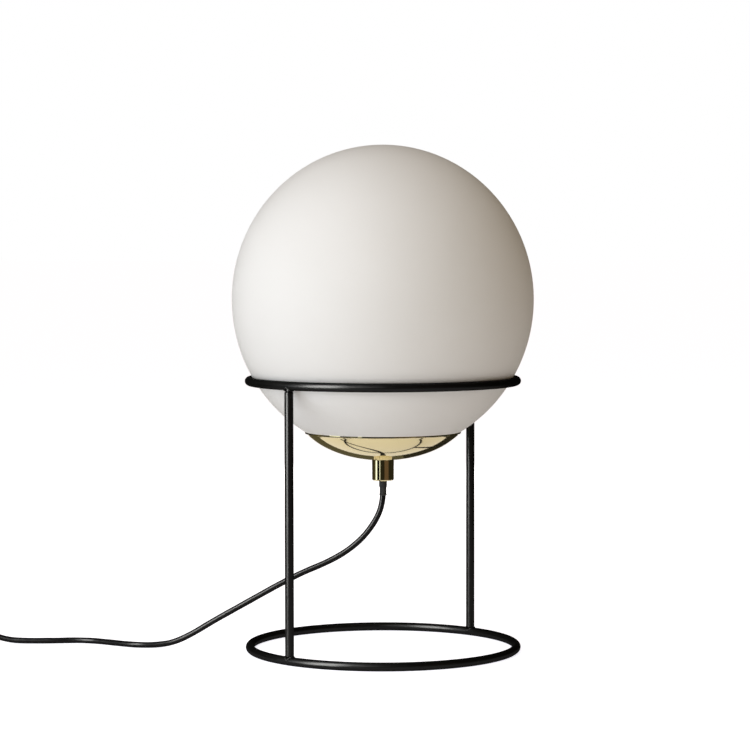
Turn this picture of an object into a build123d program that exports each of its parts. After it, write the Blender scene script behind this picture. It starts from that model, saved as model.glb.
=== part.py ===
"""Glass globe table lamp: an opal globe on a stand of two round-bar rings and two legs.

Millimetres, +Z up. The origin is on the table, under the middle of the base ring.
-Y faces the viewer, and the cord leaves to the left, along -X.
"""
from build123d import *
import math
import os

os.makedirs("parts", exist_ok=True)

# ------------------------------------------------------------- driving dimensions
# Stand: round steel bar, powder coated
bar_diameter = 7.2
top_ring_height = 225.2        # centreline of the upper ring above the table
leg_azimuth = 47.3             # rear leg, the front leg stands opposite
leg_end_chamfer = 1.2

# Globe: an ellipsoid, a little taller than wide, cut open underneath
globe_radius = 125.0
globe_half_height = 128.0
globe_wall = 3.0
globe_mouth_radius = 42.0
seat_angle = 30.6              # the upper ring meets the glass this far below its equator
seat_gap = 0.3

# Brass dish under the globe: part of an ellipsoid with a flat in the middle
dish_half_width = 73.2
dish_half_depth = 43.9
dish_centre_height = 202.8
dish_rim_radius = 63.2
dish_flat_radius = 9.6
dish_sheet = 1.0
gasket_gap = 0.35

# Column of turned parts on the lamp's axis
tube_outer = 5.0               # M10 x 1 threaded tube, radius
tube_bore = 4.0
tube_engagement = 7.0
washer_thickness = 1.0
crown_sheet = 1.0
lock_nut_height = 3.0
gland_radius = 9.15
gland_height = 17.2
gland_floor = 2.0
gland_edge = 0.8
collar_radius = 3.3
collar_height = 5.4
sleeve_radius = 2.87
sleeve_height = 7.2
grip_radius = 6.5
grip_height = 7.9

# Lampholder, E27
holder_radius = 20.0
holder_wall = 2.0
holder_bottom_gap = 1.6
holder_core_height = 9.0
holder_shell_height = 34.0
screw_shell_radius = 13.6
screw_shell_height = 21.0
screw_shell_sheet = 0.5

# Bulb, A60 on an E27 cap
bulb_length = 107.0
bulb_radius = 30.0
bulb_thread_radius = 13.2
bulb_thread_root = 12.4
thread_pitch = 3.629
contact_gap = 0.3

# Cord: two-core round flex
cord_diameter = 5.0
bore_play = 0.05               # a bush is this much wider than the flex, on the radius
wire_radius = 0.9
wire_offset = 1.25

# Inline rocker switch
switch_middle_x = -378.0
switch_middle_y = 38.0
switch_length = 62.0
switch_width = 28.0
switch_height = 17.0
switch_split = 8.0             # the two shells part at the flex's own height
switch_wall = 1.8
rocker_tilt = 8.0
rocker_pivot_height = 13.0

# Coil of spare cord
coil_x = -410.0
coil_y = -45.0
coil_outer_radius = 39.2       # at the middle of the cord
coil_pitch = 5.6
coil_layer_rise = 5.5
coil_lift = 1.3                # the tie's strap passes under the turns
coil_half_turns_in = 6
coil_half_turns_out = 4

# Flat two-pin mains plug, 2.5 A
plug_face_x = -342.0
plug_y = -135.0             # past the base ring, so that a socket slides straight on
plug_width = 35.3
plug_thickness = 13.7
plug_body_length = 31.0
plug_relief_length = 24.0
pin_radius = 2.0
pin_length = 19.0
pin_tip_round = 1.0
pin_spacing = 18.6

# ------------------------------------------------------------- worked-out sizes
bar_radius = bar_diameter / 2
seat_sin = math.sin(math.radians(seat_angle))
seat_cos = math.cos(math.radians(seat_angle))
seat_slope = math.hypot(seat_cos / globe_radius, seat_sin / globe_half_height)
seat_out = seat_cos / globe_radius / seat_slope
seat_down = seat_sin / globe_half_height / seat_slope
ring_radius = globe_radius * seat_cos + seat_out * (bar_radius + seat_gap)
globe_height = (top_ring_height + globe_half_height * seat_sin
                + seat_down * (bar_radius + seat_gap))
base_ring_height = bar_radius

dish_flat = dish_centre_height - dish_half_depth * math.sqrt(
    1 - (dish_flat_radius / dish_half_width) ** 2)
dish_floor = dish_flat + dish_sheet
dish_rim = dish_centre_height - dish_half_depth * math.sqrt(
    1 - (dish_rim_radius / dish_half_width) ** 2)

crown_floor = dish_floor + washer_thickness
nut_floor = crown_floor + crown_sheet
holder_floor = nut_floor + lock_nut_height + holder_bottom_gap
holder_split = holder_floor + 20.0
core_top = holder_split + holder_core_height
holder_top = holder_split + holder_shell_height
tube_bottom = dish_flat - tube_engagement
tube_top = holder_floor + 9.2
gland_bottom = dish_flat - gland_height
grip_floor = gland_bottom + gland_floor
collar_bottom = gland_bottom - collar_height
cord_exit = collar_bottom - sleeve_height
cord_radius = cord_diameter / 2
bush_bore = cord_radius + bore_play
cord_end = tube_top + 0.5
bulb_bottom = core_top + 4.0

coil_bottom_height = cord_radius + coil_lift
coil_top_height = coil_bottom_height + coil_layer_rise


def globe_underside(radius):
    """Height of the globe's outer surface below its equator, at a distance from the axis."""
    return globe_height - globe_half_height * math.sqrt(1 - (radius / globe_radius) ** 2)


def dish_inside(height):
    """Distance from the axis to the dish's inner surface at a height."""
    rise = (dish_centre_height - height) / (dish_half_depth - dish_sheet)
    return (dish_half_width - dish_sheet) * math.sqrt(1 - rise ** 2)


def finish_part(builder, name):
    """Name a piece and write it."""
    builder.part.label = name
    export_step(builder.part, "parts/" + name + ".step")


def turned(points):
    """A piece turned about the lamp's axis from a closed outline of (radius, height) points."""
    with BuildPart() as piece:
        with BuildSketch(Plane.XZ):
            with BuildLine():
                Polyline(*points, close=True)
            make_face()
        revolve(axis=Axis.Z)
    return piece


def corner_radii(points):
    """Bend radius at each corner of a cord's route, as large as its two runs allow."""
    radii = []
    for before, corner, after in zip(points, points[1:], points[2:]):
        run_in = Vector(*corner) - Vector(*before)
        run_out = Vector(*after) - Vector(*corner)
        half_turn = math.radians(run_in.get_angle(run_out) / 2)
        radii.append(0.45 * min(run_in.length, run_out.length) / math.tan(half_turn))
    return radii


def cord_tube(points, radius, name):
    """A round tube along straight runs joined by tangent arcs."""
    radii = corner_radii(points)
    with BuildLine() as route:
        FilletPolyline(*points, radius=radii)
    path = route.wires()[0]
    with BuildPart() as tube:
        with BuildSketch(Plane(origin=path @ 0, z_dir=path % 0)):
            Circle(radius)
        sweep(path=path)
    section = math.pi * radius ** 2 * path.length
    print(name, "length", round(path.length, 1), "volume ratio", round(tube.part.volume / section, 4),
          "radii", [round(value) for value in radii])
    return tube


# ------------------------------------------------------------- stand
with BuildPart() as base_ring:
    with BuildSketch(Plane.XZ):
        with Locations((ring_radius, base_ring_height)):
            Circle(bar_radius)
    revolve(axis=Axis.Z)
finish_part(base_ring, "base_ring")

with BuildPart() as top_ring:
    with BuildSketch(Plane.XZ):
        with Locations((ring_radius, top_ring_height)):
            Circle(bar_radius)
    revolve(axis=Axis.Z)
finish_part(top_ring, "top_ring")


def leg(azimuth):
    """A straight bar between the rings, chamfered and coped where it is welded to them."""
    foot = (ring_radius * math.cos(math.radians(azimuth)), ring_radius * math.sin(math.radians(azimuth)))
    shoulder_low = 2 * bar_radius - 0.6
    shoulder_high = top_ring_height - bar_radius - 0.4
    with BuildPart() as bar:
        with Locations((*foot, shoulder_low)):
            Cylinder(bar_radius, shoulder_high - shoulder_low,
                     align=(Align.CENTER, Align.CENTER, Align.MIN))
        chamfer(bar.edges().filter_by(GeomType.CIRCLE).group_by(Axis.Z)[-1], leg_end_chamfer)
        chamfer(bar.edges().filter_by(GeomType.CIRCLE).group_by(Axis.Z)[0], leg_end_chamfer)
        with Locations((*foot, base_ring_height)):
            Cylinder(bar_radius - leg_end_chamfer, top_ring_height - base_ring_height,
                     align=(Align.CENTER, Align.CENTER, Align.MIN))
        add(base_ring.part, mode=Mode.SUBTRACT)
        add(top_ring.part, mode=Mode.SUBTRACT)
    return bar


rear_leg = leg(leg_azimuth)
finish_part(rear_leg, "rear_leg")
front_leg = leg(leg_azimuth + 180)
finish_part(front_leg, "front_leg")

# ------------------------------------------------------------- globe
globe_inner_radius = globe_radius - globe_wall
globe_inner_half = globe_half_height - globe_wall
mouth_outer_angle = math.degrees(math.acos(globe_mouth_radius / globe_radius))
mouth_inner_angle = math.degrees(math.acos(globe_mouth_radius / globe_inner_radius))
with BuildPart() as glass_globe:
    with BuildSketch(Plane.XZ):
        with BuildLine():
            outer = EllipticalCenterArc((0, globe_height), globe_radius, globe_half_height,
                                        -mouth_outer_angle, arc_size=mouth_outer_angle + 90)
            inner = EllipticalCenterArc((0, globe_height), globe_inner_radius, globe_inner_half,
                                        -mouth_inner_angle, arc_size=mouth_inner_angle + 90)
            Line(outer @ 0, inner @ 0)
            Line(outer @ 1, inner @ 1)
        make_face()
    revolve(axis=Axis.Z)
finish_part(glass_globe, "glass_globe")

# ------------------------------------------------------------- dish and its gasket
dish_inner_width = dish_half_width - dish_sheet
dish_inner_depth = dish_half_depth - dish_sheet
outer_flat_angle = math.degrees(math.acos(dish_flat_radius / dish_half_width))
outer_rim_angle = math.degrees(math.acos(dish_rim_radius / dish_half_width))
inner_flat_angle = math.degrees(math.asin((dish_centre_height - dish_floor) / dish_inner_depth))
inner_rim_angle = math.degrees(math.asin((dish_centre_height - dish_rim) / dish_inner_depth))
with BuildPart() as brass_dish:
    with BuildSketch(Plane.XZ):
        with BuildLine():
            outer = EllipticalCenterArc((0, dish_centre_height), dish_half_width, dish_half_depth,
                                        -outer_flat_angle, arc_size=outer_flat_angle - outer_rim_angle)
            inner = EllipticalCenterArc((0, dish_centre_height), dish_inner_width, dish_inner_depth,
                                        -inner_flat_angle, arc_size=inner_flat_angle - inner_rim_angle)
            Line(outer @ 1, inner @ 1)
            Polyline(outer @ 0, (tube_outer, dish_flat), (tube_outer, dish_floor), inner @ 0)
        make_face()
    revolve(axis=Axis.Z)
finish_part(brass_dish, "brass_dish")

gasket_lip = dish_rim_radius - 3.0
gasket_tip = dish_rim_radius - 4.6
glass_gasket = turned([
    (dish_rim_radius, dish_rim),
    (dish_rim_radius, globe_underside(dish_rim_radius) - gasket_gap),
    (gasket_lip, globe_underside(gasket_lip) - gasket_gap),
    (gasket_tip, globe_underside(gasket_tip) - gasket_gap - 0.15),
    (dish_inside(dish_rim - 2.0), dish_rim - 2.0),
    (dish_inside(dish_rim), dish_rim),
])
finish_part(glass_gasket, "glass_gasket")

# ------------------------------------------------------------- parts clamped on the threaded tube
threaded_tube = turned([(tube_bore, tube_bottom), (tube_outer, tube_bottom),
                        (tube_outer, tube_top), (tube_bore, tube_top)])
finish_part(threaded_tube, "threaded_tube")

washer_radius = 7.0
washer_tooth = 1.4
with BuildPart() as tooth_washer:
    with BuildSketch(Plane.XY.offset(dish_floor)):
        Circle(washer_radius)
        with PolarLocations(washer_radius, 12):
            Rectangle(2 * washer_tooth, 1.6)
        Circle(tube_outer, mode=Mode.SUBTRACT)
    extrude(amount=washer_thickness)
finish_part(tooth_washer, "tooth_washer")

# Three sprung arms press outward on the ground edge of the globe's mouth
arm_reach = 41.4
arm_width = 8.0
arm_sheet = 0.8
arm_bow = 184.0
arm_straight = 179.0
crown_disc_radius = 14.0
with BuildPart() as spring_crown:
    with BuildSketch(Plane.XY.offset(crown_floor)):
        Circle(crown_disc_radius)
        Circle(tube_outer, mode=Mode.SUBTRACT)
    extrude(amount=crown_sheet)
    for arm_angle in (30, 150, 270):
        along = Vector(1, 0, 0).rotate(Axis.Z, arm_angle)
        with BuildSketch(Plane(origin=(0, 0, 0), x_dir=along, z_dir=along.cross(Vector(0, 0, 1)))):
            with BuildLine():
                Polyline(
                    (crown_disc_radius - 2, crown_floor), (arm_reach - 1.9, 168.6),
                    (arm_reach, 170.2), (arm_reach, arm_straight), (arm_reach - 3.4, arm_bow),
                    (arm_reach - 4.1, arm_bow - 0.5), (arm_reach - arm_sheet, arm_straight - 0.2),
                    (arm_reach - arm_sheet, 170.7), (arm_reach - 2.2, 169.5),
                    (crown_disc_radius - 2, crown_floor + crown_sheet), close=True)
            make_face()
        extrude(amount=arm_width / 2, both=True)
finish_part(spring_crown, "spring_crown")

with BuildPart() as lock_nut:
    with BuildSketch(Plane.XY.offset(nut_floor)):
        RegularPolygon(8.08, 6)
        Circle(tube_outer, mode=Mode.SUBTRACT)
    extrude(amount=lock_nut_height)
finish_part(lock_nut, "lock_nut")

# ------------------------------------------------------------- gland, cord grip and sleeve
grip_screw_radius = 1.5
grip_screw_height = grip_floor + grip_height / 2
gland_cavity = grip_radius + 0.1
with BuildPart() as brass_gland:
    with BuildSketch(Plane.XZ):
        with BuildLine():
            Polyline(
                (collar_radius + bore_play, gland_bottom), (gland_radius - gland_edge, gland_bottom),
                (gland_radius, gland_bottom + gland_edge), (gland_radius, dish_flat),
                (tube_outer, dish_flat), (tube_outer, tube_bottom), (gland_cavity, tube_bottom),
                (gland_cavity, grip_floor), (collar_radius + bore_play, grip_floor), close=True)
        make_face()
    revolve(axis=Axis.Z)
    with BuildSketch(Plane.XZ):
        with Locations((0, grip_screw_height)):
            Circle(grip_screw_radius)
    extrude(amount=-gland_radius - 1, mode=Mode.SUBTRACT)
finish_part(brass_gland, "brass_gland")

cord_grip = turned([
    (bush_bore, collar_bottom), (collar_radius, collar_bottom), (collar_radius, grip_floor),
    (grip_radius, grip_floor), (grip_radius, grip_floor + grip_height),
    (bush_bore, grip_floor + grip_height)])
finish_part(cord_grip, "cord_grip")

screw_slot = 0.6
with BuildPart() as grip_screw:
    with BuildSketch(Plane.XZ.offset(-grip_radius)):
        with Locations((0, grip_screw_height)):
            Circle(grip_screw_radius)
    extrude(amount=-(gland_radius - grip_radius - 0.2))
    with BuildSketch(Plane.XZ.offset(-(gland_radius - 0.9))):
        with Locations((0, grip_screw_height)):
            Rectangle(2 * grip_screw_radius + 1, screw_slot)
    extrude(amount=-2, mode=Mode.SUBTRACT)
finish_part(grip_screw, "grip_screw")

strain_sleeve = turned([(bush_bore, cord_exit), (sleeve_radius, cord_exit),
                        (sleeve_radius, collar_bottom), (bush_bore, collar_bottom)])
finish_part(strain_sleeve, "strain_sleeve")

with BuildPart() as cord_inner:
    with BuildSketch(Plane.XY.offset(cord_exit)):
        Circle(cord_radius)
    extrude(amount=cord_end - cord_exit)
finish_part(cord_inner, "cord_inner")

# ------------------------------------------------------------- lampholder
post_inner = 8.0
post_outer = 10.0
post_width = 4.0
terminal_height = holder_floor + 16.4
terminal_screw_radius = 1.25
holder_inside = holder_radius - holder_wall
holder_seat = holder_inside - 1.5
holder_lip_radius = 14.6
holder_lip_sheet = 2.5
holder_cap = turned([
    (tube_outer, holder_floor), (9.0, holder_floor), (9.0, holder_floor + 5), (15.0, holder_floor + 8.5),
    (holder_radius, holder_floor + 15), (holder_radius, holder_split), (holder_seat, holder_split),
    (holder_seat, holder_floor + 15.6), (13.2, holder_floor + 10.6), (9.5, tube_top),
    (tube_outer, tube_top)])
finish_part(holder_cap, "holder_cap")

holder_shell = turned([
    (holder_inside, holder_split), (holder_radius, holder_split), (holder_radius, holder_top - 1),
    (holder_radius - 1, holder_top), (holder_lip_radius, holder_top),
    (holder_lip_radius, holder_top - holder_lip_sheet), (holder_inside, holder_top - holder_lip_sheet)])
finish_part(holder_shell, "holder_shell")

with BuildPart() as holder_core:
    with BuildSketch(Plane.XY.offset(holder_split)):
        Circle(holder_inside - 0.1)
        with Locations((post_inner + 1, 0), (-post_inner - 1, 0)):
            Rectangle(post_outer - post_inner, post_width, mode=Mode.SUBTRACT)
    extrude(amount=holder_core_height)
finish_part(holder_core, "holder_core")

shell_outer = screw_shell_radius + screw_shell_sheet
flange_inner = 10.5
flange_sheet = 0.6
screw_shell = turned([
    (flange_inner, core_top), (shell_outer, core_top), (shell_outer, core_top + screw_shell_height),
    (screw_shell_radius, core_top + screw_shell_height), (screw_shell_radius, core_top + flange_sheet),
    (flange_inner, core_top + flange_sheet)])
finish_part(screw_shell, "screw_shell")

leaf_sheet = 0.6
leaf_top = bulb_bottom - contact_gap
post_foot = terminal_height - 3.4
with BuildPart() as centre_contact:
    with BuildSketch(Plane.XZ):
        with BuildLine():
            Polyline(
                (post_inner, post_foot), (post_outer, post_foot), (post_outer, core_top + leaf_sheet),
                (6.5, core_top + leaf_sheet), (2.8, leaf_top), (-2.8, leaf_top),
                (-2.8, leaf_top - leaf_sheet), (2.4, leaf_top - leaf_sheet), (6.0, core_top),
                (post_inner, core_top), close=True)
        make_face()
    extrude(amount=post_width / 2, both=True)
    with BuildSketch(Plane.YZ.offset(post_inner)):
        with Locations((0, terminal_height)):
            Circle(terminal_screw_radius)
    extrude(amount=post_outer - post_inner, mode=Mode.SUBTRACT)
finish_part(centre_contact, "centre_contact")

tongue_rise = 0.8
with BuildPart() as side_contact:
    with BuildSketch(Plane.XZ):
        with BuildLine():
            Polyline(
                (-post_inner, post_foot), (-post_inner, core_top + flange_sheet + tongue_rise),
                (-12.6, core_top + flange_sheet + tongue_rise), (-12.6, core_top + flange_sheet),
                (-post_outer, core_top + flange_sheet), (-post_outer, post_foot), close=True)
        make_face()
    extrude(amount=post_width / 2, both=True)
    with BuildSketch(Plane.YZ.offset(-post_outer)):
        with Locations((0, terminal_height)):
            Circle(terminal_screw_radius)
    extrude(amount=post_outer - post_inner, mode=Mode.SUBTRACT)
finish_part(side_contact, "side_contact")

screw_head = 2.0
with BuildPart() as terminal_screws:
    for side in (1, -1):
        with BuildSketch(Plane(origin=(side * post_inner, 0, terminal_height), z_dir=(side, 0, 0))):
            Circle(terminal_screw_radius)
        extrude(amount=post_outer - post_inner)
        with BuildSketch(Plane(origin=(side * post_outer, 0, terminal_height), z_dir=(side, 0, 0))):
            Circle(2.4)
        extrude(amount=screw_head)
        with BuildSketch(Plane(origin=(side * (post_outer + screw_head - 0.8), 0, terminal_height),
                               z_dir=(side, 0, 0))):
            Rectangle(6, 0.7)
        extrude(amount=1, mode=Mode.SUBTRACT)
finish_part(terminal_screws, "terminal_screws")


def holder_wire(side):
    """One core of the flex, from the end of its sheath to its terminal."""
    points = [
        (side * wire_offset, 0, cord_end), (side * wire_offset, 0, cord_end + 2.2),
        (side * 3.4, 0, terminal_height - 1.2), (side * 5.2, 0, terminal_height),
        (side * post_inner, 0, terminal_height)]
    with BuildLine() as route:
        FilletPolyline(*points, radius=1.4)
    path = route.wires()[0]
    with BuildPart() as wire:
        with BuildSketch(Plane(origin=path @ 0, z_dir=path % 0)):
            Circle(wire_radius)
        sweep(path=path)
    return wire


live_wire = holder_wire(1)
finish_part(live_wire, "live_wire")
neutral_wire = holder_wire(-1)
finish_part(neutral_wire, "neutral_wire")

# ------------------------------------------------------------- bulb
tip_radius = 4.6
tip_height = 1.5
insulator_top = bulb_bottom + 6.0
insulator_radius = 11.0
skirt_top = bulb_bottom + 27.0
bulb_ridges = 4
bulb_tip = turned([(0, bulb_bottom), (tip_radius - 0.6, bulb_bottom), (tip_radius, bulb_bottom + 0.6),
                   (tip_radius, bulb_bottom + tip_height), (0, bulb_bottom + tip_height)])
finish_part(bulb_tip, "bulb_tip")

insulator_foot = bulb_bottom + tip_height + 0.3
bulb_insulator = turned([(0, insulator_foot), (tip_radius, insulator_foot),
                         (insulator_radius, insulator_top), (0, insulator_top)])
finish_part(bulb_insulator, "bulb_insulator")

# The screw cap: rounded ridges stand in for the helical thread
cap_inside = 11.8
cap_lip = 10.2
with BuildPart() as bulb_cap:
    with BuildSketch(Plane.XZ):
        with BuildLine():
            Polyline(
                (cap_lip, insulator_top), (insulator_radius, insulator_top),
                (bulb_thread_root, insulator_top + 1.6), (bulb_thread_root, skirt_top - 3.4),
                (bulb_thread_radius, skirt_top - 2.6), (bulb_thread_radius, skirt_top),
                (cap_inside, skirt_top), (cap_inside, insulator_top + 2.0),
                (cap_lip, insulator_top + 0.6), close=True)
        make_face()
        for ridge in range(bulb_ridges):
            with Locations((bulb_thread_root, insulator_top + 3.4 + ridge * thread_pitch)):
                Circle(bulb_thread_radius - bulb_thread_root)
    revolve(axis=Axis.Z)
finish_part(bulb_cap, "bulb_cap")

bulb_top = bulb_bottom + bulb_length
bulb_centre = bulb_top - bulb_radius
neck_radius = cap_inside - 0.3
bulb_glass_wall = 0.8
neck_depth = 6.0              # the glass goes this far into the cap
with BuildPart() as bulb_glass:
    with BuildSketch(Plane.XZ):
        with BuildLine():
            crown_arc = CenterArc((0, bulb_centre), bulb_radius, -18, 108)
            shoulder = Spline(
                crown_arc @ 0, (15.6, skirt_top + 11), (neck_radius, skirt_top),
                tangents=[crown_arc % 0 * -1, (0, -1)])
            Polyline(shoulder @ 1, (neck_radius, skirt_top - neck_depth), (0, skirt_top - neck_depth), crown_arc @ 1)
        make_face()
    revolve(axis=Axis.Z)
    offset(amount=-bulb_glass_wall, openings=bulb_glass.faces().sort_by(Axis.Z)[0])
finish_part(bulb_glass, "bulb_glass")

# ------------------------------------------------------------- cord from the lamp to the switch
switch_front = switch_middle_x + switch_length / 2
switch_back = switch_middle_x - switch_length / 2
switch_collar = 4.0
drop_route = [
    (0, 0, cord_exit), (0, 0, 111.2), (-16, 1.1, 89.0), (-46, 3.4, 71.8), (-83, 6.2, 57.3),
    (-117, 8.4, 37.2), (-149, 10.3, 19.0), (-174, 11.8, 5.2), (-203, 11.2, cord_radius),
    (-231, 28.2, cord_radius), (-259, 40.6, cord_radius), (-286, 37.4, cord_radius),
    (-306, 36.8, cord_radius), (-319.5, 37.4, 3.6), (-333.5, switch_middle_y, switch_split),
    (switch_front + switch_collar, switch_middle_y, switch_split),
]
cord_drop = cord_tube(drop_route, cord_radius, "cord_drop")
finish_part(cord_drop, "cord_drop")

# ------------------------------------------------------------- cord from the switch to the coil
coil_start_x = coil_x - coil_outer_radius
link_route = [
    (switch_back - switch_collar, switch_middle_y, switch_split),
    (-421, switch_middle_y, switch_split), (-434.2, 35.4, 5.2), (-445.8, 26.0, 3.4),
    (-451.6, 12.0, 3.4), (-451.0, -4, coil_bottom_height), (coil_start_x, -21, coil_bottom_height),
    (coil_start_x, coil_y + cord_diameter, coil_bottom_height),
]
cord_link = cord_tube(link_route, cord_radius, "cord_link")
finish_part(cord_link, "cord_link")

# ------------------------------------------------------------- coil
# Half-turn arcs: the radius falls by half a pitch each half turn in the lower layer, one half
# turn climbs to the upper layer, the next steps out a whole pitch to clear the climb, and
# the radius grows again. Reach is measured along X from the coil's middle.
coil_reach = [coil_outer_radius - step * coil_pitch / 2 for step in range(coil_half_turns_in + 2)]
coil_level = [coil_bottom_height] * (coil_half_turns_in + 1) + [coil_top_height]
first_out = coil_reach[-1] + coil_pitch
coil_reach += [first_out + step * coil_pitch / 2 for step in range(coil_half_turns_out + 1)]
coil_level += [coil_top_height] * (coil_half_turns_out + 1)


def coil_point(index):
    """End of one half turn: sides alternate, starting on the coil's -X side."""
    side = -1 if index % 2 == 0 else 1
    return Vector(coil_x + side * coil_reach[index], coil_y, coil_level[index])


with BuildLine() as coil_turns:
    start = coil_point(0)
    Line(start + Vector(0, cord_diameter, 0), start)
    for index in range(len(coil_reach) - 1):
        here, there = coil_point(index), coil_point(index + 1)
        turn_side = -1 if index % 2 == 0 else 1
        half_span = math.hypot((there - here).X, (there - here).Z) / 2
        middle = (here + there) * 0.5 + Vector(0, turn_side * half_span, 0)
        ThreePointArc(here, middle, there)
    finish = coil_point(len(coil_reach) - 1)
    leaving = -1 if (len(coil_reach) - 1) % 2 == 0 else 1
    Line(finish, finish + Vector(0, leaving * cord_diameter, 0))
coil_path = coil_turns.wires()[0]
with BuildPart() as cord_coil:
    with BuildSketch(Plane(origin=coil_path @ 0, z_dir=coil_path % 0)):
        Circle(cord_radius)
    sweep(path=coil_path)
finish_part(cord_coil, "cord_coil")

coil_samples = 1400
coil_length = coil_path.length
coil_points = [coil_path @ (step / coil_samples) for step in range(coil_samples + 1)]
apart = int(6 * cord_diameter / coil_length * coil_samples)
coil_gap = min((coil_points[low] - coil_points[high]).length
               for low in range(0, coil_samples, 2)
               for high in range(low + apart, coil_samples + 1, 2)) - cord_diameter
print("coil length", round(coil_length, 1), "least gap", round(coil_gap, 3), "volume ratio",
      round(cord_coil.part.volume / (math.pi * cord_radius ** 2 * coil_length), 4))

# ------------------------------------------------------------- cord from the coil to the plug
tail_start = finish + Vector(0, leaving * cord_diameter, 0)
relief_end_x = plug_face_x - plug_body_length - plug_relief_length
plug_height = plug_thickness / 2
tail_route = [
    tuple(tail_start), (tail_start.X, -66, coil_top_height), (-446, -84, 6.0), (-444.5, -102, 3.0),
    (-437.5, -121, 3.0), (-424.5, -133.5, 4.2), (-409, plug_y, plug_height),
    (relief_end_x, plug_y, plug_height),
]
cord_tail = cord_tube(tail_route, cord_radius, "cord_tail")
finish_part(cord_tail, "cord_tail")

# ------------------------------------------------------------- tie round the coil
tie_width = 8.0
tie_sheet = 0.9
tie_inner_low = min(coil_reach) - cord_radius - 1.0
tie_inner_high = coil_reach[1] + cord_radius + 1.0
tie_inner_top = coil_top_height + cord_radius + 0.3
tie_middle = coil_x + (tie_inner_low + tie_inner_high) / 2
tie_span = tie_inner_high - tie_inner_low
tie_cavity = tie_inner_top - (tie_sheet + 0.1)
with BuildPart() as cord_tie:
    with BuildSketch(Plane.XZ.offset(-coil_y)):
        with Locations((tie_middle, (tie_inner_top + tie_sheet + 0.1) / 2)):
            RectangleRounded(tie_span + 2 * tie_sheet, tie_cavity + 2 * tie_sheet, 3.4)
            RectangleRounded(tie_span, tie_cavity, 2.5, mode=Mode.SUBTRACT)
    extrude(amount=tie_width / 2, both=True)
finish_part(cord_tie, "cord_tie")

# ------------------------------------------------------------- inline switch
switch_centre = (switch_middle_x, switch_middle_y)
collar_outer = 4.4
rocker_length = 20.0
rocker_width = 10.0
rocker_hole_length = 22.4
rocker_hole_width = 10.8
trunnion_radius = 1.2
trunnion_tip = 7.0
screw_offset_x = 22.0
screw_offset_y = 7.6
screw_radius = 1.3
screw_head_radius = 2.6
screw_recess = 2.2
boss_radius = 3.2


def switch_half(low, high):
    """One half of the switch's case, hollow, with half a collar for the cord at each end."""
    rounded = low == 0
    inside_low = low + switch_wall if rounded else low
    inside_high = high if rounded else high - switch_wall
    with BuildPart() as half:
        with BuildSketch(Plane.XY.offset(low)):
            with Locations(switch_centre):
                RectangleRounded(switch_length, switch_width, 9)
        extrude(amount=high - low)
        face = half.faces().sort_by(Axis.Z)[0 if rounded else -1]
        fillet(face.edges(), 3.2)
        with BuildSketch(Plane.YZ.offset(switch_back - switch_collar)):
            with Locations((switch_middle_y, switch_split)):
                Circle(collar_outer)
        extrude(amount=switch_length + 2 * switch_collar)
        with BuildSketch(Plane.XY.offset(inside_low)):
            with Locations(switch_centre):
                RectangleRounded(switch_length - 2 * switch_wall, switch_width - 2 * switch_wall, 7.2)
        extrude(amount=inside_high - inside_low, mode=Mode.SUBTRACT)
        with BuildSketch(Plane.XY.offset(inside_low)):
            with Locations((switch_middle_x + screw_offset_x, switch_middle_y + screw_offset_y),
                           (switch_middle_x - screw_offset_x, switch_middle_y - screw_offset_y)):
                Circle(boss_radius)
        extrude(amount=inside_high - inside_low)
        with BuildSketch(Plane.YZ.offset(switch_back - switch_collar - 1)):
            with Locations((switch_middle_y, switch_split)):
                Circle(bush_bore)
        extrude(amount=switch_length + 2 * switch_collar + 2, mode=Mode.SUBTRACT)
        keep = Keep.BOTTOM if rounded else Keep.TOP
        split(bisect_by=Plane.XY.offset(switch_split), keep=keep)
    return half


screw_places = [(switch_middle_x + side * screw_offset_x, switch_middle_y + side * screw_offset_y)
                for side in (1, -1)]

with BuildPart() as switch_base:
    add(switch_half(0, switch_split).part)
    with BuildSketch(Plane.XY):
        with Locations(*screw_places):
            Circle(screw_radius)
    extrude(amount=switch_split, mode=Mode.SUBTRACT)
    with BuildSketch(Plane.XY):
        with Locations(*screw_places):
            Circle(screw_head_radius)
    extrude(amount=screw_recess, mode=Mode.SUBTRACT)
finish_part(switch_base, "switch_base")

lug_inner = rocker_hole_width / 2
lug_depth = 3.0
with BuildPart() as switch_cover:
    add(switch_half(switch_split, switch_height).part)
    with BuildSketch(Plane.XY.offset(switch_split)):
        with Locations(switch_centre):
            Rectangle(rocker_hole_length, rocker_hole_width)
    extrude(amount=switch_height, mode=Mode.SUBTRACT)
    with BuildSketch(Plane.XY.offset(rocker_pivot_height - lug_depth)):
        with Locations((switch_middle_x, switch_middle_y + lug_inner + 1.1),
                       (switch_middle_x, switch_middle_y - lug_inner - 1.1)):
            Rectangle(6, 2.2)
    extrude(amount=switch_height - switch_wall - rocker_pivot_height + lug_depth)
    with BuildSketch(Plane.XZ.offset(-switch_middle_y)):
        with Locations((switch_middle_x, rocker_pivot_height)):
            Circle(trunnion_radius + 0.06)
    extrude(amount=trunnion_tip + 0.2, both=True, mode=Mode.SUBTRACT)
    with BuildSketch(Plane.XY.offset(switch_split)):
        with Locations(*screw_places):
            Circle(screw_radius)
    extrude(amount=5.6, mode=Mode.SUBTRACT)
finish_part(switch_cover, "switch_cover")

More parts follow.
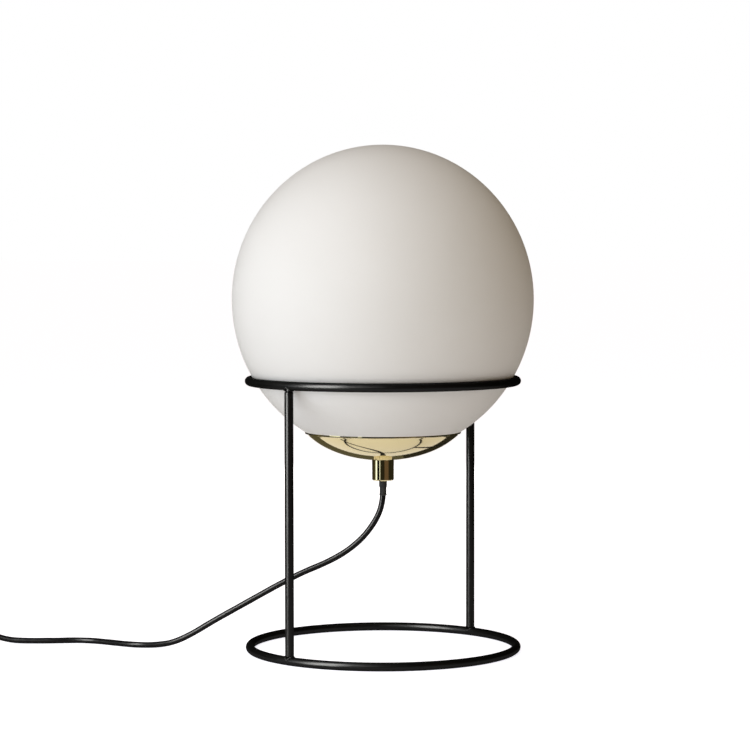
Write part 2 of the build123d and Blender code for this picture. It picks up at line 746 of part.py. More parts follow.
# The rocker is stored with its lamp side pressed down
tilt = math.radians(rocker_tilt)
rocker_plane = Plane(origin=(switch_middle_x, switch_middle_y, rocker_pivot_height),
                     x_dir=(math.cos(tilt), 0, -math.sin(tilt)), z_dir=(0, -1, 0))
with BuildPart() as switch_rocker:
    with BuildSketch(rocker_plane):
        with BuildLine():
            half = rocker_length / 2
            Polyline((half, 5.6), (half, 0.2), (4, -2.4), (-4, -2.4), (-half, 0.2), (-half, 5.6))
            ThreePointArc((-half, 5.6), (0, 4.3), (half, 5.6))
        make_face()
    extrude(amount=rocker_width / 2, both=True)
    fillet(switch_rocker.edges().filter_by(Axis.Y).sort_by(Axis.Z)[-2:], 0.6)
    with BuildSketch(rocker_plane):
        Circle(trunnion_radius)
    extrude(amount=trunnion_tip, both=True)
finish_part(switch_rocker, "switch_rocker")

with BuildPart() as switch_bridge:
    with BuildSketch(rocker_plane):
        with BuildLine():
            Polyline((-3.4, -2.4), (3.4, -2.4), (8.6, -4.4), (8.6, -5.0), (3.2, -3.2),
                     (-3.2, -3.2), (-8.6, -5.0), (-8.6, -4.4), close=True)
        make_face()
    extrude(amount=2, both=True)
finish_part(switch_bridge, "switch_bridge")

terminal_x = 12.6
with BuildPart() as switch_terminals:
    for side in (1, -1):
        with BuildSketch(Plane.XY.offset(switch_wall)):
            with Locations((switch_middle_x + side * terminal_x, switch_middle_y)):
                Rectangle(7, 6)
        extrude(amount=3.0)
finish_part(switch_terminals, "switch_terminals")

with BuildPart() as switch_screws:
    with Locations((switch_middle_x + screw_offset_x, switch_middle_y + screw_offset_y, 0.4),
                   (switch_middle_x - screw_offset_x, switch_middle_y - screw_offset_y, 0.4)):
        Cylinder(2.4, 1.8, align=(Align.CENTER, Align.CENTER, Align.MIN))
        Cylinder(screw_radius, 12.4, align=(Align.CENTER, Align.CENTER, Align.MIN))
finish_part(switch_screws, "switch_screws")

# ------------------------------------------------------------- plug
relief_base_radius = 4.6
relief_tip_radius = 3.3
pin_root = 8.0
pin_root_radius = 1.6
plug_back_x = plug_face_x - plug_body_length


# Flattened hexagons across the plug: distance from the face, width, thickness, corner
plug_sections = [(0, plug_width, plug_thickness, 6.8), (plug_body_length, 15.0, 10.6, 4.2)]
with BuildPart() as plug_body:
    for distance, width, thickness, corner in plug_sections:
        with BuildSketch(Plane(origin=(plug_face_x - distance, plug_y, plug_height),
                               x_dir=(0, 1, 0), z_dir=(1, 0, 0))):
            with BuildLine():
                flat = width / 2 - corner
                Polyline((width / 2, 0), (flat, thickness / 2), (-flat, thickness / 2),
                         (-width / 2, 0), (-flat, -thickness / 2), (flat, -thickness / 2), close=True)
            make_face()
    loft()
    fillet(plug_body.edges().group_by(Axis.X)[-1], 1.0)
    with BuildSketch(Plane(origin=(plug_back_x, plug_y, plug_height), x_dir=(0, 1, 0), z_dir=(-1, 0, 0))):
        Circle(relief_base_radius)
    with BuildSketch(Plane(origin=(relief_end_x, plug_y, plug_height), x_dir=(0, 1, 0), z_dir=(-1, 0, 0))):
        Circle(relief_tip_radius)
    loft()
    for side in (1, -1):
        with BuildSketch(Plane(origin=(plug_face_x, plug_y + side * pin_spacing / 2, plug_height),
                               z_dir=(-1, 0, 0))):
            Circle(pin_root_radius)
        extrude(amount=pin_root, mode=Mode.SUBTRACT)
finish_part(plug_body, "plug_body")

with BuildPart() as plug_pins:
    for side in (1, -1):
        middle = (plug_face_x, plug_y + side * pin_spacing / 2, plug_height)
        with BuildSketch(Plane(origin=middle, z_dir=(-1, 0, 0))):
            Circle(pin_root_radius)
        extrude(amount=pin_root)
        with BuildSketch(Plane(origin=middle, z_dir=(1, 0, 0))):
            Circle(pin_radius)
        extrude(amount=pin_length)
    tips = plug_pins.edges().filter_by(GeomType.CIRCLE).group_by(Axis.X)[-1]
    fillet(tips, pin_tip_round)
finish_part(plug_pins, "plug_pins")

print("ring radius", round(ring_radius, 2), "globe height", round(globe_height, 2), "top",
      round(globe_height + globe_half_height, 2), "dish flat", round(dish_flat, 2), "rim",
      round(dish_rim, 2), "gland bottom", round(gland_bottom, 2), "cord exit", round(cord_exit, 2),
      "bulb", round(bulb_bottom, 2), round(bulb_top, 2))
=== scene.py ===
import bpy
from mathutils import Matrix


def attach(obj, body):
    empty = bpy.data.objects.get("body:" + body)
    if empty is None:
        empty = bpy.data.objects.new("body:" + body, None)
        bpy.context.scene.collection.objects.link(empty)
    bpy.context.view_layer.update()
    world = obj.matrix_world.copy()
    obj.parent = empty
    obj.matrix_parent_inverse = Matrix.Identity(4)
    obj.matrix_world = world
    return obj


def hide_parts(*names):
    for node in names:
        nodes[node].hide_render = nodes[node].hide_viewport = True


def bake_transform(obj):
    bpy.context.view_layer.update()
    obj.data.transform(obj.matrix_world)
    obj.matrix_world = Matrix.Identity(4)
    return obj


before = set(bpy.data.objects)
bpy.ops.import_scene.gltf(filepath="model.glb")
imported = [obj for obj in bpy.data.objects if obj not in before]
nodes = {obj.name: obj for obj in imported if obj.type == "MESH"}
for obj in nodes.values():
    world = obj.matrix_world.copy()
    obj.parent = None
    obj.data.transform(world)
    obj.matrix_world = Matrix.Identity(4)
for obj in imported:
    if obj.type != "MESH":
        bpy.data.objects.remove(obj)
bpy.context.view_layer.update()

import math

import bmesh
import bpy
from mathutils import Vector

# Shapes are drawn in millimetres and turned into metres by MM; the camera and the stage are in metres
MM = 0.001


def placed(name, data):
    """A new object in the scene that carries that data."""
    made = bpy.data.objects.new(name, data)
    bpy.context.scene.collection.objects.link(made)
    return made


# ---------------------------------------------------------------- camera
looks_down, leans = 2.933, 0.068

camera_data = bpy.data.cameras.new("camera")
camera_data.sensor_width = 36.0
camera_data.lens = 127.8
camera_data.shift_x = -0.0103
camera = placed("camera", camera_data)
camera.location = (0.0, -2.2074, 0.34284)
camera.rotation_mode = "XYZ"
camera.rotation_euler = (math.radians(90 - looks_down), math.radians(leans), 0.0)
bpy.context.scene.camera = camera


# ---------------------------------------------------------------- cords
def spline_line(name, points):
    """The smooth line of a NURBS spline with those control points, as a list of vectors."""
    data = bpy.data.curves.new(name, "CURVE")
    data.dimensions = "3D"
    data.resolution_u = 10
    spline = data.splines.new("NURBS")
    spline.points.add(len(points) - 1)
    for target, point in zip(spline.points, points):
        target.co = (point[0] * MM, point[1] * MM, point[2] * MM, 1.0)
    spline.order_u = 3
    spline.use_endpoint_u = True
    line = placed(name, data)
    bpy.context.view_layer.update()
    mesh = bpy.data.meshes.new_from_object(line)
    found = [vertex.co.copy() for vertex in mesh.vertices]
    bpy.data.meshes.remove(mesh)
    bpy.data.objects.remove(line)
    bpy.data.curves.remove(data)
    return found


def tube_along(name, line, radius, sides, swell=None):
    """A tube on that line with closed ends; u is a share of the way round, v is metres along it.

    swell gives the share by which the radius grows at an angle and a distance along the line.
    """
    mesh = bpy.data.meshes.new(name)
    shape = bmesh.new()
    uv = shape.loops.layers.uv.new("UVMap")
    count = len(line)
    tangents = []
    for i in range(count):
        tangents.append((line[min(i + 1, count - 1)] - line[max(i - 1, 0)]).normalized())
    normal = tangents[0].orthogonal().normalized()
    rings, travelled = [], [0.0]
    for i, point in enumerate(line):
        if i:
            travelled.append(travelled[-1] + (point - line[i - 1]).length)
            normal = (normal - tangents[i] * normal.dot(tangents[i])).normalized()
        side = tangents[i].cross(normal)
        ring = []
        for k in range(sides):
            angle = 2 * math.pi * k / sides
            reach = radius * (1 + (swell(angle, travelled[i]) if swell else 0))
            ring.append(shape.verts.new(point + (normal * math.cos(angle) + side * math.sin(angle)) * reach))
        rings.append(ring)
    for i in range(count - 1):
        for k in range(sides):
            n = (k + 1) % sides
            face = shape.faces.new((rings[i][k], rings[i][n], rings[i + 1][n], rings[i + 1][k]))
            face.smooth = True
            for loop, (u, v) in zip(face.loops, ((k, i), (k + 1, i), (k + 1, i + 1), (k, i + 1))):
                loop[uv].uv = (u / sides, travelled[v])
    shape.faces.new(list(reversed(rings[0])))
    shape.faces.new(rings[-1])
    bmesh.ops.recalc_face_normals(shape, faces=shape.faces)
    shape.to_mesh(mesh)
    shape.free()
    return placed(name, mesh)


cord_diameter = 5.0
twist_depth = 0.012
twist_length = 0.042  # metres of cord in one turn of its cores


def core_twist(angle, along):
    """The two twisted cores show faintly through the sheath: a shallow ridge that winds along it."""
    return twist_depth * math.cos(2 * (angle - 2 * math.pi * along / twist_length)) - twist_depth


# From the sleeve under the lamp, down in one sweep to the table and along it to the switch
drop_points = [
    (0, 0, 131.0), (-0.4, 0, 125.5), (-2.6, 0.2, 116.0), (-8.0, 0.5, 105.5), (-17.5, 1.1, 93.2),
    (-31.5, 2.1, 81.6), (-48.5, 3.3, 72.4), (-66.0, 4.5, 65.2), (-86.0, 5.9, 55.0), (-117, 8.0, 37.4),
    (-143, 9.8, 22.8), (-160, 10.9, 12.2), (-176, 12.0, 4.6), (-191, 12.4, 2.5), (-206.5, 13.0, 2.5),
    (-219.5, 20.0, 2.5), (-233, 29.2, 2.5), (-247.5, 37.6, 2.5), (-262, 40.0, 2.5), (-278, 37.4, 2.5),
    (-306, 36.6, 2.5), (-319.5, 37.4, 3.6), (-333.5, 38, 8), (-343, 38, 8),
]
drop_line = spline_line("drop_line", drop_points)
lamp_cord = tube_along("lamp_cord", drop_line, cord_diameter / 2 * MM, sides=28, swell=core_twist)
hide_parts("cord_drop")
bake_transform(lamp_cord)

# The coil of spare cord winds inward on the table, climbs, and winds outward on top of itself
coil_middle = (-410.0, -45.0)
outer_reach, half_turn_step = 39.2, 2.8
inward_reaches, outward_reaches = 8, 5
lower_level, upper_level = 3.8, 9.3
points_per_half_turn = 8


def coil_route():
    """The coil's control points, on the corners of a polygon round each half turn."""
    reaches = [outer_reach - half_turn_step * step for step in range(inward_reaches)]
    reaches += [reaches[-1] + 2 * half_turn_step + half_turn_step * step for step in range(outward_reaches)]
    levels = [lower_level] * (inward_reaches - 1) + [upper_level] * (outward_reaches + 1)
    route = []
    for index in range(len(reaches) - 1):
        side = -1 if index % 2 == 0 else 1
        here = coil_middle[0] + side * reaches[index]
        there = coil_middle[0] - side * reaches[index + 1]
        centre, radius = (here + there) / 2, abs(there - here) / 2
        corner = radius / math.cos(math.pi / points_per_half_turn / 2)
        for step in range(points_per_half_turn):
            turned = math.pi * (step + 0.5) / points_per_half_turn
            share = (1 - math.cos(turned)) / 2
            route.append((
                centre + side * corner * math.cos(turned),
                coil_middle[1] + side * corner * math.sin(turned),
                levels[index] + (levels[index + 1] - levels[index]) * share,
            ))
    return route


# From the switch into the coil, and out of it to the plug
link_points = [
    (-413, 38, 8), (-421, 38, 8), (-434.2, 35.4, 5.2), (-445.8, 26.0, 3.4), (-451.6, 12.0, 3.4),
    (-451.0, -4, 3.8), (-449.2, -21, 3.8), (-449.2, -40, 3.8),
]
tail_points = [
    (-446.4, -50, 9.3), (-446.4, -66, 9.3), (-446, -84, 6.0), (-444.5, -102, 3.0), (-437.5, -121, 3.0),
    (-424.5, -133.5, 4.2), (-409, -135, 6.85), (-397, -135, 6.85),
]
spare_line = spline_line("spare_line", link_points + coil_route() + tail_points)
spare_cord = tube_along("spare_cord", spare_line, cord_diameter / 2 * MM, sides=20, swell=core_twist)
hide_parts("cord_link", "cord_coil", "cord_tail")
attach(spare_cord, "stand")

# Ribs of the plug's bend relief, placed by shares of its length from the plug
plug_y, plug_height, plug_back = -135.0, 6.85, -373.0
relief_length, relief_radius, relief_taper = 24.0, 4.6, 1.3
rib_count, first_rib, rib_spacing = 6, 0.16, 0.145
rib_half_width, rib_steps = 0.5, 40


def rib_circle(share):
    """The middle of a rib: a circle round the relief, which narrows away from the plug."""
    radius = relief_radius - relief_taper * share
    circle = []
    for step in range(rib_steps + 1):
        angle = 2 * math.pi * step / rib_steps
        circle.append(Vector((
            plug_back - relief_length * share,
            plug_y + radius * math.cos(angle),
            plug_height + radius * math.sin(angle),
        )) * MM)
    return circle


relief_ribs = []
for index in range(rib_count):
    circle = rib_circle(first_rib + rib_spacing * index)
    rib = tube_along("relief_rib_" + str(index + 1), circle, rib_half_width * MM, sides=10)
    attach(rib, "stand")
    relief_ribs.append(rib)


def line_length(line):
    """The length of a line of points."""
    return sum((b - a).length for a, b in zip(line, line[1:]))


print("lamp cord", round(line_length(drop_line), 4), "spare cord", round(line_length(spare_line), 4))


# ---------------------------------------------------------------- materials
drift_start, drift_end = 0.3, 0.7  # the part of a noise's range that a drift is spread over
gloss_fineness = 2.7  # how many times smaller the patches of gloss are than those of colour


def add_node(tree, kind, values=None, **settings):
    """A shader node with its settings, and its inputs set or linked."""
    made = tree.nodes.new(kind)
    for key, value in settings.items():
        setattr(made, key, value)
    for key, value in (values or {}).items():
        if isinstance(value, bpy.types.NodeSocket):
            tree.links.new(value, made.inputs[key])
        else:
            made.inputs[key].default_value = value
    return made


def place_of(tree, stretch=None):
    """Object coordinates in metres, stretched where a grain has a direction."""
    place = add_node(tree, "ShaderNodeTexCoord").outputs["Object"]
    if stretch:
        place = add_node(tree, "ShaderNodeMapping", {"Vector": place, "Scale": stretch}).outputs["Vector"]
    return place


def noise(tree, place, scale, detail):
    """A cloudy pattern from 0 to 1."""
    return add_node(tree, "ShaderNodeTexNoise", {
        "Vector": place, "Scale": scale, "Detail": detail, "Roughness": 0.5}).outputs["Fac"]


def between(tree, value, low, high):
    """A noise spread from low to high."""
    return add_node(tree, "ShaderNodeMapRange", {
        "Value": value, "From Min": drift_start, "From Max": drift_end,
        "To Min": low, "To Max": high}).outputs["Result"]


def blend_colours(tree, value, dark, light):
    """A noise spread from the dark colour to the light one."""
    ramp = add_node(tree, "ShaderNodeValToRGB", {"Fac": value})
    first, last = ramp.color_ramp.elements
    first.position, last.position = drift_start, drift_end
    first.color, last.color = (*dark, 1), (*light, 1)
    return ramp.outputs["Color"]


def finish_of(name, dark, light, rough, grain, depth, patches, metallic=0.0, stretch=None, specular=0.5):
    """A surface whose colour and gloss drift in patches and whose grain stands up by depth metres."""
    made = bpy.data.materials.new(name)
    made.use_nodes = True
    tree = made.node_tree
    shader = tree.nodes["Principled BSDF"]
    place = place_of(tree)
    patch = noise(tree, place, patches, detail=3.0)
    gloss = noise(tree, place, patches * gloss_fineness, detail=4.0)
    fine = noise(tree, place_of(tree, stretch), grain, detail=2.0)
    relief = add_node(tree, "ShaderNodeBump", {"Height": fine, "Distance": depth, "Strength": 1.0})
    tree.links.new(blend_colours(tree, patch, dark, light), shader.inputs["Base Color"])
    tree.links.new(between(tree, gloss, *rough), shader.inputs["Roughness"])
    tree.links.new(relief.outputs["Normal"], shader.inputs["Normal"])
    shader.inputs["Metallic"].default_value = metallic
    shader.inputs["Specular IOR Level"].default_value = specular
    return made


def even_sheen(material, share):
    """Makes a surface reflect that share at every angle, with no glare at a glancing one."""
    tree = material.node_tree
    body = tree.nodes["Principled BSDF"]
    body.inputs["Specular IOR Level"].default_value = 0.0
    sheen = add_node(tree, "ShaderNodeBsdfAnisotropic", {
        "Color": (1, 1, 1, 1), "Roughness": body.inputs["Roughness"].links[0].from_socket,
        "Normal": body.inputs["Normal"].links[0].from_socket})
    skin = add_node(tree, "ShaderNodeMixShader", {0: share, 1: body.outputs[0], 2: sheen.outputs[0]})
    tree.links.new(skin.outputs[0], tree.nodes["Material Output"].inputs["Surface"])


powder_coat = finish_of("powder_coat", (0.0028, 0.0027, 0.0025), (0.0044, 0.0043, 0.0039), (0.27, 0.33),
                        grain=1100, depth=0.000006, patches=30)
opal_glass = finish_of("opal_glass", (0.865, 0.86, 0.852), (0.88, 0.875, 0.868), (0.40, 0.48),
                       grain=900, depth=0.000002, patches=9, specular=0.1)
polished_brass = finish_of("polished_brass", (0.72, 0.62, 0.35), (0.74, 0.64, 0.37), (0.045, 0.09),
                           grain=260, depth=0.0000012, patches=22, metallic=1.0, stretch=(1, 1, 5))
black_rubber = finish_of("black_rubber", (0.011, 0.011, 0.011), (0.017, 0.017, 0.017), (0.5, 0.62),
                         grain=2600, depth=0.00001, patches=120)
plated_steel = finish_of("plated_steel", (0.50, 0.49, 0.46), (0.60, 0.59, 0.57), (0.22, 0.38),
                         grain=700, depth=0.000004, patches=90, metallic=1.0)
black_plastic = finish_of("black_plastic", (0.012, 0.012, 0.012), (0.018, 0.018, 0.018), (0.32, 0.42),
                          grain=1900, depth=0.000016, patches=60)
cord_sheath = finish_of("cord_sheath", (0.0035, 0.0035, 0.0035), (0.006, 0.006, 0.0057), (0.22, 0.32),
                        grain=240, depth=0.00003, patches=60)
wire_brown = finish_of("wire_brown", (0.10, 0.035, 0.015), (0.13, 0.05, 0.02), (0.35, 0.45),
                       grain=900, depth=0.00001, patches=150)
wire_blue = finish_of("wire_blue", (0.02, 0.09, 0.34), (0.03, 0.12, 0.40), (0.35, 0.45),
                      grain=900, depth=0.00001, patches=150)
holder_plastic = finish_of("holder_plastic", (0.70, 0.69, 0.66), (0.76, 0.75, 0.72), (0.35, 0.45),
                           grain=1500, depth=0.00001, patches=50)
ceramic = finish_of("ceramic", (0.74, 0.72, 0.68), (0.80, 0.79, 0.76), (0.25, 0.4),
                    grain=500, depth=0.00002, patches=60)
contact_brass = finish_of("contact_brass", (0.66, 0.50, 0.22), (0.74, 0.58, 0.28), (0.25, 0.4),
                          grain=800, depth=0.000004, patches=120, metallic=1.0)
bulb_white = finish_of("bulb_glass", (0.84, 0.84, 0.82), (0.88, 0.88, 0.87), (0.35, 0.45),
                       grain=700, depth=0.000004, patches=30)
bulb_metal = finish_of("bulb_metal", (0.62, 0.61, 0.58), (0.70, 0.69, 0.67), (0.2, 0.34),
                       grain=700, depth=0.000005, patches=90, metallic=1.0)
even_sheen(powder_coat, 0.0125)
even_sheen(cord_sheath, 0.0085)

finishes = {
    powder_coat: ["base_ring", "top_ring", "front_leg", "rear_leg"],
    opal_glass: ["glass_globe"],
    polished_brass: ["brass_dish", "brass_gland"],
    black_rubber: ["glass_gasket", "strain_sleeve", "cord_tie"],
    plated_steel: ["spring_crown", "threaded_tube", "tooth_washer", "lock_nut", "grip_screw",
                   "terminal_screws", "switch_screws", "plug_pins"],
    black_plastic: ["cord_grip", "switch_base", "switch_cover", "switch_rocker", "plug_body"],
    cord_sheath: ["cord_inner", "cord_drop", "cord_link", "cord_coil", "cord_tail"],
    wire_brown: ["live_wire"],
    wire_blue: ["neutral_wire"],
    holder_plastic: ["holder_cap", "holder_shell"],
    ceramic: ["holder_core", "bulb_insulator"],
    contact_brass: ["screw_shell", "centre_contact", "side_contact", "switch_bridge", "switch_terminals"],
    bulb_white: ["bulb_glass"],
    bulb_metal: ["bulb_cap", "bulb_tip"],
}
for finish, names in finishes.items():
    for name in names:
        mesh = nodes[name].data
        mesh.materials.clear()
        mesh.materials.append(finish)
for piece in (lamp_cord, spare_cord):
    piece.data.materials.append(cord_sheath)
for piece in relief_ribs:
    piece.data.materials.append(black_plastic)


# ---------------------------------------------------------------- turned pieces
sharp_edge = math.radians(32)


def spread(first, last, steps):
    """Even steps from first to last, both included."""
    return [first + (last - first) * i / steps for i in range(steps + 1)]


def bezier(start, first, second, end, steps):
    """Points along a cubic curve, its ends included."""
    found = []
    for t in spread(0.0, 1.0, steps):
        weights = ((1 - t) ** 3, 3 * t * (1 - t) ** 2, 3 * t * t * (1 - t), t ** 3)
        corners = (start, first, second, end)
        found.append(tuple(sum(w * p[axis] for w, p in zip(weights, corners)) for axis in (0, 1)))
    return found


def lathe(name, outline, material, turns):
    """A turned piece from a closed outline of (radius, height) points."""
    shape = bmesh.new()
    rings = []
    for radius, height in outline:
        ring = []
        for k in range(turns):
            angle = 2 * math.pi * k / turns
            spot = (radius * math.cos(angle) * MM, radius * math.sin(angle) * MM, height * MM)
            ring.append(shape.verts.new(spot))
        rings.append(ring)
    for lower, upper in zip(rings, rings[1:] + rings[:1]):
        for k in range(turns):
            n = (k + 1) % turns
            shape.faces.new((lower[k], lower[n], upper[n], upper[k])).smooth = True
    bmesh.ops.recalc_face_normals(shape, faces=shape.faces)
    mesh = bpy.data.meshes.new(name)
    shape.to_mesh(mesh)
    shape.free()
    mesh.set_sharp_from_angle(angle=sharp_edge)
    mesh.materials.append(material)
    return placed(name, mesh)


# The spun dish: a flat round its hole, a bowl, and the small lip that catches the light in the photograph
dish_half_width, dish_half_depth, dish_centre = 73.2, 43.9, 202.8
dish_hole, flat_edge, flat_height = 5.0, 9.2, 159.28
bowl_foot, curl_start = 9.6, 63.8
lip_radius, lip_foot, lip_top = 64.9, 181.75, 182.9
inner_rim, inner_foot, inner_flat_edge = 61.5, 9.1, 9.0
dish_sheet = 1.0


def bowl(radius, sheet=0.0):
    """Height of the bowl at that radius, on its outside or a sheet's thickness farther in."""
    rise = (dish_half_depth - sheet) * math.sqrt(1 - (radius / (dish_half_width - sheet)) ** 2)
    return dish_centre - rise


dish_outline = [(dish_hole, flat_height), (flat_edge, flat_height)]
dish_outline += [(radius, bowl(radius)) for radius in spread(bowl_foot, curl_start, 60)[:-1]]
dish_outline += bezier((curl_start, bowl(curl_start)), (64.3, 181.55), (lip_radius, 181.45),
                       (lip_radius, lip_foot), 10)
dish_outline += [(lip_radius, lip_top), (64.82, 182.98), (64.65, 182.92), (63.9, 182.25), (62.6, 181.35)]
dish_outline += [(radius, bowl(radius, dish_sheet)) for radius in spread(inner_rim, inner_foot, 40)]
dish_outline += [(inner_flat_edge, flat_height + dish_sheet), (dish_hole, flat_height + dish_sheet)]
spun_dish = lathe("spun_dish", dish_outline, polished_brass, turns=256)
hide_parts("brass_dish")
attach(spun_dish, "fitter")

# The gasket between the dish's rim and the glass, with a soft upper edge
gasket_outline = [
    (62.3, 180.9), (62.5, 181.3), (62.3, 181.15), (60.2, 180.0), (58.8, 179.1), (58.6, 178.8),
    (59.2, 178.2), (60.9, 179.6), (61.6, 180.3),
]
rim_gasket = lathe("rim_gasket", gasket_outline, black_rubber, turns=128)
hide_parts("glass_gasket")
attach(rim_gasket, "fitter")

# The sleeve on the flex, with a rounded bead at its lower end
sleeve_outline = [
    (2.56, 129.5), (2.75, 129.52), (3.02, 129.75), (3.12, 130.1), (3.1, 130.45), (2.9, 130.75),
    (2.82, 131.2), (2.84, 136.2), (2.87, 136.68), (2.56, 136.68),
]
flex_sleeve = lathe("flex_sleeve", sleeve_outline, black_rubber, turns=64)
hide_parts("strain_sleeve")
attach(flex_sleeve, "fitter")


# ---------------------------------------------------------------- welds
bar_radius, ring_radius = 3.6, 110.97
base_ring_height, top_ring_height = 3.6, 225.2
leg_azimuth = 47.3
bead_radius, bead_steps = 0.62, 120
beyond_leg, beyond_ring = 0.12, 0.28  # how far the bead's middle lies outside each of the two bars
ripple_depth = 0.16
ripple_length = 0.0013  # metres


def weld_ripple(angle, along):
    """The scales of a weld, which are the same all round the bead."""
    return ripple_depth * math.sin(2 * math.pi * along / ripple_length)


def weld_bead(name, azimuth, ring_height, upward):
    """A rippled bead where a leg meets a ring, on the line where the two bars cross."""
    out = Vector((math.cos(azimuth), math.sin(azimuth), 0))
    along = Vector((-out.y, out.x, 0))
    reach = bar_radius + beyond_leg
    line = []
    for step in range(bead_steps + 1):
        angle = 2 * math.pi * step / bead_steps
        across, ahead = reach * math.cos(angle), reach * math.sin(angle)
        rise = math.sqrt(max((bar_radius + beyond_ring) ** 2 - across ** 2, 0.0))
        centre = out * (ring_radius + across) + along * ahead
        line.append((centre + Vector((0, 0, ring_height + upward * rise))) * MM)
    bead = tube_along(name, line, bead_radius * MM, sides=10, swell=weld_ripple)
    bead.data.materials.append(powder_coat)
    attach(bead, "stand")
    return bead


weld_beads = []
for leg_name, azimuth in (("rear", leg_azimuth), ("front", leg_azimuth + 180)):
    weld_beads.append(weld_bead(leg_name + "_foot_weld", math.radians(azimuth), base_ring_height, 1))
    weld_beads.append(weld_bead(leg_name + "_head_weld", math.radians(azimuth), top_ring_height, -1))


# ---------------------------------------------------------------- floor and background
def flat_sheet(left, front, right, back, height):
    """The four corners of a level sheet."""
    return [(left, front, height), (right, front, height), (right, back, height), (left, back, height)]


def on_bearing(degrees, distance):
    """The spot at that bearing: 0 is toward the camera, and 90 is to the camera's right."""
    angle = math.radians(degrees)
    return distance * math.sin(angle), -distance * math.cos(angle)


def curtain(first, last, step, radius, foot, top):
    """Upright panels side by side on an arc of bearings."""
    corners = []
    bearing = first
    while bearing < last:
        left, right = on_bearing(bearing, radius), on_bearing(min(bearing + step, last), radius)
        corners += [(*left, foot), (*right, foot), (*right, top), (*left, top)]
        bearing += step
    return corners


def staged(name, corners, material):
    """A piece of the stage, of panels with four corners each."""
    mesh = bpy.data.meshes.new(name)
    mesh.from_pydata(corners, [], [list(range(i, i + 4)) for i in range(0, len(corners), 4)])
    mesh.materials.append(material)
    made = placed(name, mesh)
    return made


def flag(name, corners, material):
    """A piece of the stage that only reflections see."""
    made = staged(name, corners, material)
    made.visible_camera = made.visible_diffuse = made.visible_shadow = made.visible_transmission = False
    return made


def shown_ray(tree, in_gloss):
    """1 for a ray from the camera or one that glass sends on, in_gloss for a reflected one, else 0."""
    path = add_node(tree, "ShaderNodeLightPath")
    reflected = add_node(tree, "ShaderNodeMath", {0: path.outputs["Is Glossy Ray"], 1: in_gloss},
                         operation="MULTIPLY")
    direct = add_node(tree, "ShaderNodeMath", {0: reflected.outputs[0], 1: path.outputs["Is Camera Ray"]},
                      operation="MAXIMUM")
    return add_node(tree, "ShaderNodeMath", {0: direct.outputs[0], 1: path.outputs["Is Transmission Ray"]},
                    operation="MAXIMUM").outputs[0]


def glow_of(name, colour):
    """A material that only gives light."""
    made = bpy.data.materials.new(name)
    made.use_nodes = True
    made.node_tree.nodes.clear()
    light = add_node(made.node_tree, "ShaderNodeEmission", {"Color": (*colour, 1), "Strength": 1.0})
    add_node(made.node_tree, "ShaderNodeOutputMaterial", {"Surface": light.outputs[0]})
    return made


# White paper that takes the object's shadow; it glows a little, and more where it is seen
floor_reach = 40.0
floor_glow, glow_where_seen, seen_in_gloss = 0.14, 0.70, 0.5

floor_white = bpy.data.materials.new("floor_white")
floor_white.use_nodes = True
tree = floor_white.node_tree
tree.nodes.clear()
lift = add_node(tree, "ShaderNodeMath", {
    0: shown_ray(tree, seen_in_gloss), 1: glow_where_seen, 2: floor_glow}, operation="MULTIPLY_ADD")
paper = add_node(tree, "ShaderNodeBsdfDiffuse", {"Color": (0.8, 0.8, 0.8, 1)})
glow = add_node(tree, "ShaderNodeEmission", {"Color": (1, 1, 1.07, 1), "Strength": lift.outputs[0]})
both = add_node(tree, "ShaderNodeAddShader", {0: paper.outputs[0], 1: glow.outputs[0]})
add_node(tree, "ShaderNodeOutputMaterial", {"Surface": both.outputs[0]})
staged("floor", flat_sheet(-floor_reach, -floor_reach, floor_reach, floor_reach, 0), floor_white)

world = bpy.data.worlds.new("world")
bpy.context.scene.world = world
world.use_nodes = True
tree = world.node_tree
tree.nodes.clear()
ambient = add_node(tree, "ShaderNodeBackground", {"Color": (0.245, 0.19, 0.12, 1), "Strength": 1.0})
white = add_node(tree, "ShaderNodeBackground", {"Color": (1, 1, 1, 1), "Strength": 1.0})
seen = add_node(tree, "ShaderNodeMixShader", {
    0: shown_ray(tree, 1.0), 1: ambient.outputs[0], 2: white.outputs[0]})
add_node(tree, "ShaderNodeOutputWorld", {"Surface": seen.outputs[0]})


# ---------------------------------------------------------------- flags that only reflections see
# The dark studio beyond the white table, with an opening straight behind it
dark_studio = glow_of("dark_studio", (0.026, 0.024, 0.015))
black_studio = glow_of("black_studio", (0.008, 0.008, 0.006))
dim_floor = glow_of("dim_floor", (0.105, 0.095, 0.055))
far, low, ceiling = 3.4, 0.002, 2.6
table_left, table_right, table_front, table_back = -0.55, 0.55, -0.60, 0.20
room_back, dim_end = 0.72, 0.04
opening_near, opening_far = 0.18, 0.85  # half the opening's width in the floor, at its two ends
opening_bearings, opening_height = 14, 0.18  # degrees to each side in the wall, and its height in metres

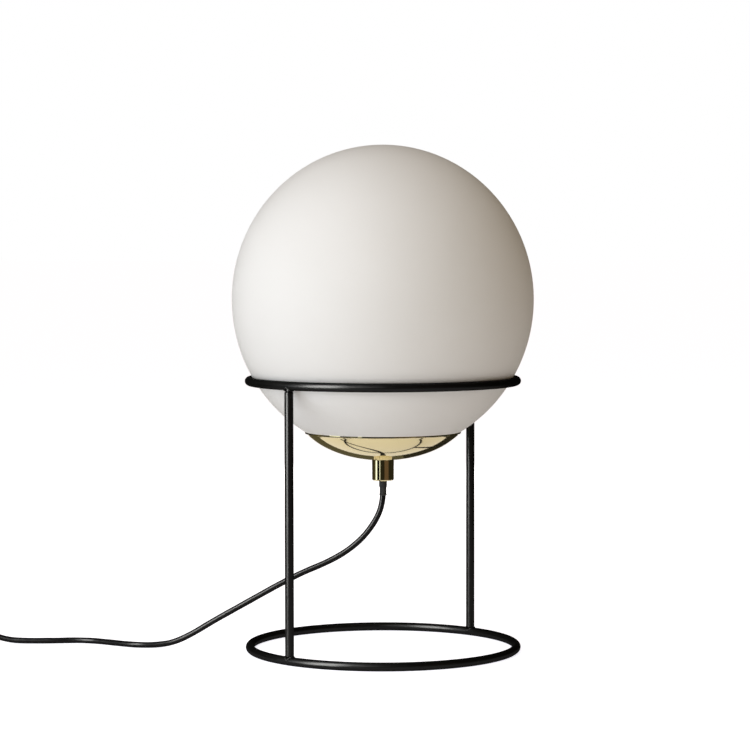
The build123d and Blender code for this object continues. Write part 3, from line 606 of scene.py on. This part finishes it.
flag("dim_floor", flat_sheet(-far, table_back, dim_end, room_back, low), dim_floor)
flag("dark_floor", [
    *flat_sheet(dim_end, table_back, far, room_back, low),
    *flat_sheet(-far, -far, far, table_front, low),
    *flat_sheet(-far, table_front, table_left, table_back, low),
    *flat_sheet(table_right, table_front, far, table_back, low),
    (-far, room_back, low), (-opening_near, room_back, low), (-opening_far, far, low), (-far, far, low),
    (opening_near, room_back, low), (far, room_back, low), (far, far, low), (opening_far, far, low),
], dark_studio)
flag("dark_wall", [
    *curtain(-180 + opening_bearings, 180 - opening_bearings, 8, radius=far, foot=0.0, top=ceiling),
    *curtain(180 - opening_bearings, 180 + opening_bearings, 7, radius=far, foot=opening_height, top=ceiling),
], black_studio)
flag("dark_ceiling", flat_sheet(-far, -far, far, far, ceiling), black_studio)
flag("warm_panel", curtain(16, 60, 11, radius=1.2, foot=0.0, top=0.9),
     glow_of("warm_panel", (0.15, 0.10, 0.065)))

# A strip light for the narrow highlight on the black bars and cords, and on nothing else
strip_light = flag("strip_light", curtain(-64, -36, 14, radius=1.1, foot=0.0, top=1.2),
                   glow_of("strip_light", (39.6, 39.6, 38.7)))
strip_lit = bpy.data.collections.new("strip_lit")
for piece in [nodes[n] for n in finishes[powder_coat]] + [lamp_cord, spare_cord] + weld_beads:
    strip_lit.objects.link(piece)
strip_light.light_linking.receiver_collection = strip_lit


# ---------------------------------------------------------------- lamps
aim_height = 0.3


def softbox(name, bearing, distance, height, width, tall, power, colour, in_gloss=True):
    """A rectangular lamp that stands at a bearing and faces the globe."""
    data = bpy.data.lights.new(name, "AREA")
    data.shape = "RECTANGLE"
    data.size, data.size_y = width, tall
    data.energy, data.color = power, colour
    made = placed(name, data)
    made.location = (*on_bearing(bearing, distance), height)
    toward = Vector((0, 0, aim_height)) - made.location
    made.rotation_mode = "QUATERNION"
    made.rotation_quaternion = toward.to_track_quat("-Z", "Y")
    made.visible_camera = False
    made.visible_glossy = in_gloss


# Each with its bearing, its distance, height, width and tallness in metres, its power in watts, its colour
softbox("key", -57, 1.25, 0.3, 1.25, 0.6, 4.5, (0.9, 1.0, 1.1))
softbox("front", -18, 1.9, 0.95, 0.9, 0.7, 9.5, (1.0, 1.0, 0.98))
softbox("top_left", -60, 0.85, 1.55, 1.1, 1.1, 6.8, (0.96, 1.0, 1.08))
softbox("back_left", -112, 1.3, 0.75, 0.9, 0.9, 0.6, (1.0, 0.95, 0.8))
softbox("behind", 180, 1.8, 0.5, 1.0, 0.8, 6.0, (1.0, 0.98, 0.94), in_gloss=False)

bpy.context.scene.view_settings.view_transform = "Standard"
